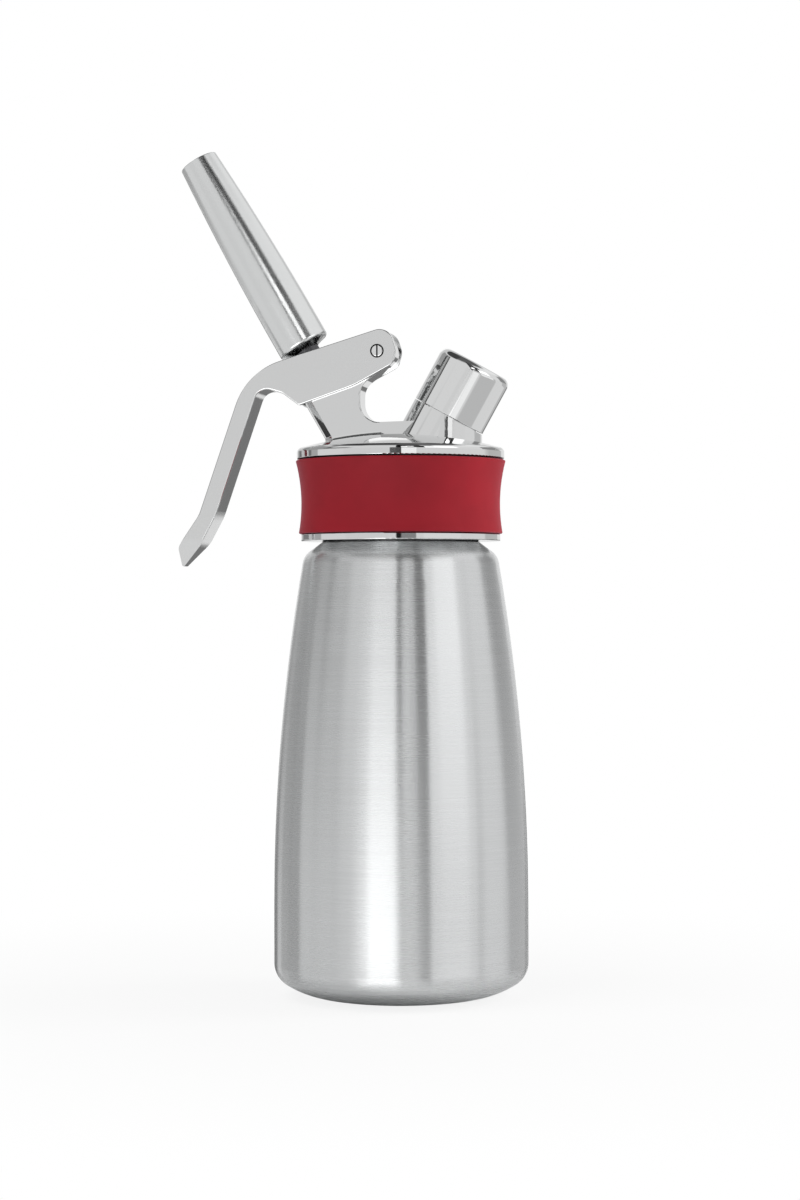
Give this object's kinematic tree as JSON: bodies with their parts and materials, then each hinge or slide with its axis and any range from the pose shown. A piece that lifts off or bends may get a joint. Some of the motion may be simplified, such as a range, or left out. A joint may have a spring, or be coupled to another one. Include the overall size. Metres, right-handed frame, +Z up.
{
  "type": "whipped cream dispenser",
  "caption": "Gas-charged cream whipper: steel bottle, screw-on head with squeeze lever, piston valve, nozzle and charger port with cap.",
  "frame": {"origin": "centre of the bottle's flat base", "axes": "+Z up along the bottle's axis; -X towards the nozzle and the lever; +X towards the charger port"},
  "size_m": [0.117, 0.0846, 0.2826],
  "materials": {
    "brushed_steel": "satin, fine brushing round the bottle",
    "polished_steel": "mirror polished stainless steel",
    "satin_steel": "fine satin stainless steel",
    "red_silicone": "matte silicone",
    "seal_silicone": "matte silicone",
    "black_rubber": "matte rubber",
    "spring_steel": "bright drawn wire",
    "brass": "turned brass",
    "sintered_bronze": "sintered, matte"
  },
  "bodies": {
    "bottle": {"bottle": "brushed_steel"},
    "gasket": {"head_gasket": "seal_silicone"},
    "head": {"head_body": "polished_steel", "grip_band": "red_silicone", "lever_pin": "polished_steel", "pin_holder": "brass", "piercing_pin": "polished_steel", "charger_gasket": "black_rubber", "gas_filter": "sintered_bronze", "check_plug": "brass", "check_spring": "spring_steel", "valve_spring": "spring_steel"},
    "lever": {"lever": "satin_steel"},
    "valve": {"valve_piston": "polished_steel", "piston_o_rings": "black_rubber", "seat_washer": "black_rubber", "seat_nut": "polished_steel", "nozzle_adapter": "polished_steel"},
    "nozzle_washer": {"nozzle_seal": "seal_silicone"},
    "nozzle": {"nozzle": "satin_steel"},
    "cap_washer": {"cap_seal": "seal_silicone"},
    "cap": {"cap": "polished_steel"},
    "inlet_ball": {"check_ball": "spring_steel"}
  },
  "joints": [
    {"name": "head_rise", "type": "slide", "parent": "bottle", "child": "gasket", "axis": [0, 0, 1], "range_m": [0, 0.006]},
    {"name": "head_turn", "type": "hinge", "parent": "gasket", "child": "head", "pos_m": [0, 0, 0.16], "axis": [0, 0, 1], "range_deg": [0, 720.5]},
    {"name": "lever_squeeze", "type": "hinge", "parent": "head", "child": "lever", "pos_m": [-0.0068, 0, 0.2143], "axis": [0, -1, 0], "range_deg": [0, 6.5]},
    {"name": "valve_press", "type": "slide", "parent": "head", "child": "valve", "axis": [0.5, 0, -0.866], "range_m": [0, 0.00243], "stiffness_N_per_m": 1500, "springref_m": -0.006, "deforming": ["valve_spring"]},
    {"name": "nozzle_rise", "type": "slide", "parent": "valve", "child": "nozzle_washer", "axis": [-0.5, 0, 0.866], "range_m": [0, 0.006]},
    {"name": "nozzle_turn", "type": "hinge", "parent": "nozzle_washer", "child": "nozzle", "pos_m": [-0.035, 0, 0.22082], "axis": [-0.5, 0, 0.866], "range_deg": [0, 1441]},
    {"name": "cap_rise", "type": "slide", "parent": "head", "child": "cap_washer", "axis": [0.4848, 0, 0.8746], "range_m": [0, 0.008]},
    {"name": "cap_turn", "type": "hinge", "parent": "cap_washer", "child": "cap", "pos_m": [0.0162, 0, 0.1926], "axis": [0.4848, 0, 0.8746], "range_deg": [0, 1441]},
    {"name": "inlet_open", "type": "slide", "parent": "head", "child": "inlet_ball", "axis": [-0.4848, 0, -0.8746], "range_m": [0, 0.0012], "stiffness_N_per_m": 100, "springref_m": -0.002, "deforming": ["check_spring"]}
  ],
  "couplings": [
    {"joint": "head_turn", "follows": "head_rise", "rad_per_m": 2094.4},
    {"joint": "lever_squeeze", "follows": "valve_press", "rad_per_m": 46.512},
    {"joint": "nozzle_turn", "follows": "nozzle_rise", "rad_per_m": 4188.8},
    {"joint": "cap_turn", "follows": "cap_rise", "rad_per_m": 3141.6}
  ]
}
